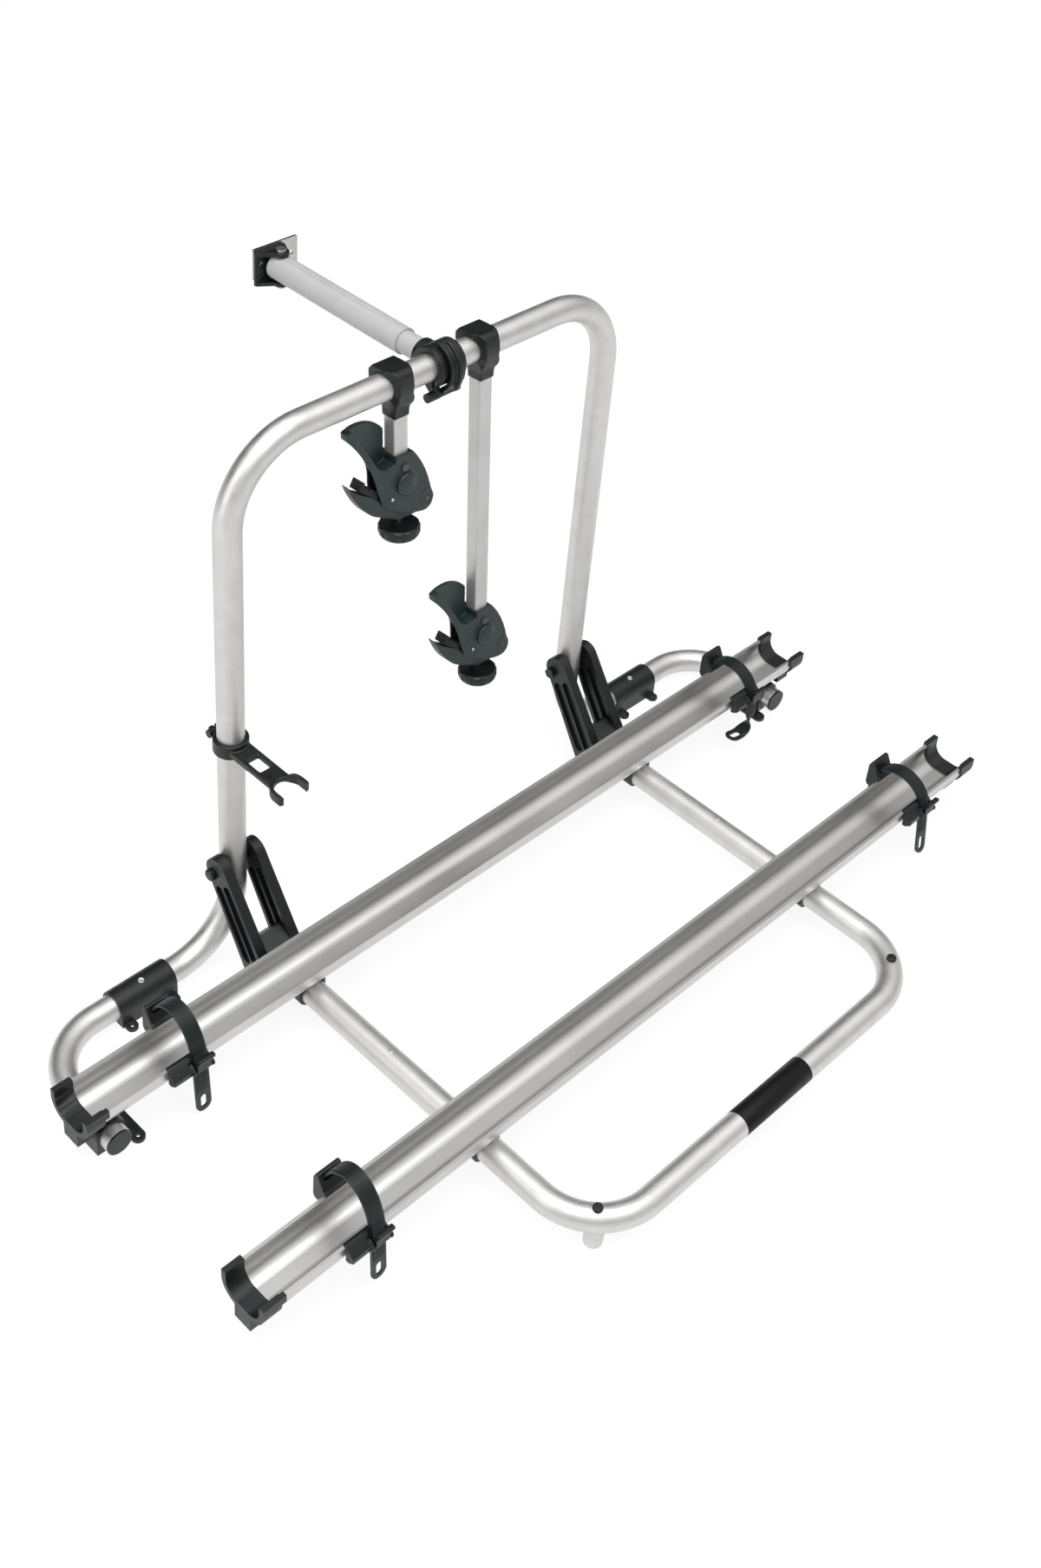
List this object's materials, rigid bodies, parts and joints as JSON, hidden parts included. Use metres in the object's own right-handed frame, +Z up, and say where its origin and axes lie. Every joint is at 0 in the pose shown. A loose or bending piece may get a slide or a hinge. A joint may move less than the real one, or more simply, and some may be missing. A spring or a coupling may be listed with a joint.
{
  "type": "garage bike rack",
  "caption": "Wall-braced tube hoop with a fold-up platform, sliding wheel rails with straps, and swinging arms with screw claws, for carrying bicycles in a vehicle garage.",
  "frame": {"origin": "middle of the bounding box on the floor, under the platform", "axes": "+X along the wheel rails, +Y back to the garage wall, +Z up"},
  "size_m": [1.336, 0.997, 0.8196],
  "materials": {
    "anodised": "satin anodised tube",
    "rail_metal": "bright rolled channel",
    "strut_metal": "matt light grey",
    "steel": "stainless sheet",
    "zinc": "zinc plated fasteners",
    "dark_plastic": "black moulded nylon, slight blue-green tint",
    "claw_plastic": "dark grey-green moulded nylon",
    "strap_plastic": "flexible dark strap",
    "soft_pad": "black grip rubber",
    "pale_rubber": "pale translucent rubber",
    "black_bolt": "blackened bolts"
  },
  "bodies": {
    "frame": {"hoop_frame": "anodised", "foot_tube_left": "anodised", "foot_tube_right": "anodised", "floor_sleeve_left": "dark_plastic", "floor_sleeve_right": "dark_plastic", "end_foot_left": "dark_plastic", "end_foot_right": "dark_plastic", "end_plugs": "dark_plastic", "platform_clip": "dark_plastic", "frame_bolts": "black_bolt"},
    "platform": {"platform_frame": "anodised", "fork_left": "dark_plastic", "fork_right": "dark_plastic", "fork_screws": "black_bolt", "platform_feet": "pale_rubber", "corner_plugs": "dark_plastic"},
    "rail_rear": {"wheel_rail_rear": "rail_metal", "rail_caps_rear": "dark_plastic", "rail_clamps_rear": "dark_plastic", "rail_bolts_rear": "black_bolt", "strap_anchors_rear": "dark_plastic", "strap_buckles_rear": "dark_plastic", "strap_rear_left": "strap_plastic", "strap_rear_right": "strap_plastic"},
    "lever_rear_left": {"strap_lever_rear_left": "dark_plastic"},
    "lever_rear_right": {"strap_lever_rear_right": "dark_plastic"},
    "rail_front": {"wheel_rail_front": "rail_metal", "rail_caps_front": "dark_plastic", "rail_clamps_front": "dark_plastic", "rail_bolts_front": "black_bolt", "strap_anchors_front": "dark_plastic", "strap_buckles_front": "dark_plastic", "strap_front_left": "strap_plastic", "strap_front_right": "strap_plastic"},
    "lever_front_left": {"strap_lever_front_left": "dark_plastic"},
    "lever_front_right": {"strap_lever_front_right": "dark_plastic"},
    "arm_1": {"arm_clamp_1": "dark_plastic", "arm_tube_1": "anodised", "claw_body_1": "claw_plastic", "claw_pins_1": "zinc"},
    "jaw_1": {"claw_jaw_1": "claw_plastic", "jaw_pad_1": "soft_pad", "claw_spindle_1": "zinc"},
    "knob_1": {"claw_knob_1": "dark_plastic"},
    "arm_2": {"arm_clamp_2": "dark_plastic", "arm_tube_2": "anodised", "claw_body_2": "claw_plastic", "claw_pins_2": "zinc"},
    "jaw_2": {"claw_jaw_2": "claw_plastic", "jaw_pad_2": "soft_pad", "claw_spindle_2": "zinc"},
    "knob_2": {"claw_knob_2": "dark_plastic"},
    "strut": {"strut_clamp": "dark_plastic", "strut_pin": "dark_plastic", "strut_tube_inner": "strut_metal"},
    "strut_end": {"strut_tube_outer": "strut_metal"},
    "wall_hinge": {"wall_plate": "steel", "wall_bracket": "dark_plastic", "wall_bolt": "zinc"},
    "strut_cam": {"strut_lever": "dark_plastic"}
  },
  "joints": [
    {"name": "platform_fold", "type": "hinge", "parent": "frame", "child": "platform", "pos_m": [0, 0.1805, 0.154], "axis": [-1, 0, 0], "range_deg": [0, 90]},
    {"name": "rail_rear_slide", "type": "slide", "parent": "platform", "child": "rail_rear", "axis": [0, 1, 0], "range_m": [-0.08, 0]},
    {"name": "strap_lever_rear_left", "type": "hinge", "parent": "rail_rear", "child": "lever_rear_left", "pos_m": [-0.509, -0.0091, 0.083], "axis": [1, 0, 0], "range_deg": [0, 60], "stiffness_Nm_per_rad": 0.1, "springref_deg": -11.46},
    {"name": "strap_lever_rear_right", "type": "hinge", "parent": "rail_rear", "child": "lever_rear_right", "pos_m": [0.538, -0.0091, 0.083], "axis": [1, 0, 0], "range_deg": [0, 60], "stiffness_Nm_per_rad": 0.1, "springref_deg": -11.46},
    {"name": "rail_front_slide", "type": "slide", "parent": "platform", "child": "rail_front", "axis": [0, 1, 0], "range_m": [-0.08, 0.06]},
    {"name": "strap_lever_front_left", "type": "hinge", "parent": "rail_front", "child": "lever_front_left", "pos_m": [-0.509, -0.3293, 0.083], "axis": [1, 0, 0], "range_deg": [0, 60], "stiffness_Nm_per_rad": 0.1, "springref_deg": -11.46},
    {"name": "strap_lever_front_right", "type": "hinge", "parent": "rail_front", "child": "lever_front_right", "pos_m": [0.538, -0.3293, 0.083], "axis": [1, 0, 0], "range_deg": [0, 60], "stiffness_Nm_per_rad": 0.1, "springref_deg": -11.46},
    {"name": "arm_1_swing", "type": "hinge", "parent": "frame", "child": "arm_1", "pos_m": [-0.062, 0.1805, 0.783], "axis": [1, 0, 0], "range_deg": [-110, 25]},
    {"name": "jaw_1_close", "type": "hinge", "parent": "arm_1", "child": "jaw_1", "pos_m": [-0.018, 0.1693, 0.61437], "axis": [0, 0.9978, -0.0663], "range_deg": [-10, 9]},
    {"name": "knob_1_turn", "type": "hinge", "parent": "jaw_1", "child": "knob_1", "pos_m": [-0.058, 0.16744, 0.58643], "axis": [0, 0.0663, 0.9978], "range_deg": [-600, 540]},
    {"name": "arm_2_swing", "type": "hinge", "parent": "frame", "child": "arm_2", "pos_m": [0.079, 0.1805, 0.783], "axis": [1, 0, 0], "range_deg": [-110, 25]},
    {"name": "jaw_2_close", "type": "hinge", "parent": "arm_2", "child": "jaw_2", "pos_m": [0.123, 0.14975, 0.32002], "axis": [0, 0.9978, -0.0663], "range_deg": [-10, 9]},
    {"name": "knob_2_turn", "type": "hinge", "parent": "jaw_2", "child": "knob_2", "pos_m": [0.083, 0.14789, 0.29208], "axis": [0, 0.0663, 0.9978], "range_deg": [-600, 540]},
    {"name": "strut_swing", "type": "hinge", "parent": "frame", "child": "strut", "pos_m": [0.01, 0.1805, 0.783], "axis": [1, 0, 0], "range_deg": [-60, 60]},
    {"name": "strut_lever_open", "type": "hinge", "parent": "strut", "child": "strut_cam", "pos_m": [0.01, 0.1675, 0.75], "axis": [1, 0, 0], "range_deg": [0, 80]},
    {"name": "strut_extend", "type": "slide", "parent": "strut", "child": "strut_end", "axis": [0, 1, 0], "range_m": [0, 0.1]},
    {"name": "wall_hinge_turn", "type": "hinge", "parent": "strut_end", "child": "wall_hinge", "pos_m": [0.01, 0.4785, 0.783], "axis": [0, 0, 1], "range_deg": [-15, 15]}
  ],
  "couplings": [
    {"joint": "jaw_1_close", "follows": "knob_1_turn", "ratio": 0.016667},
    {"joint": "jaw_2_close", "follows": "knob_2_turn", "ratio": 0.016667}
  ]
}
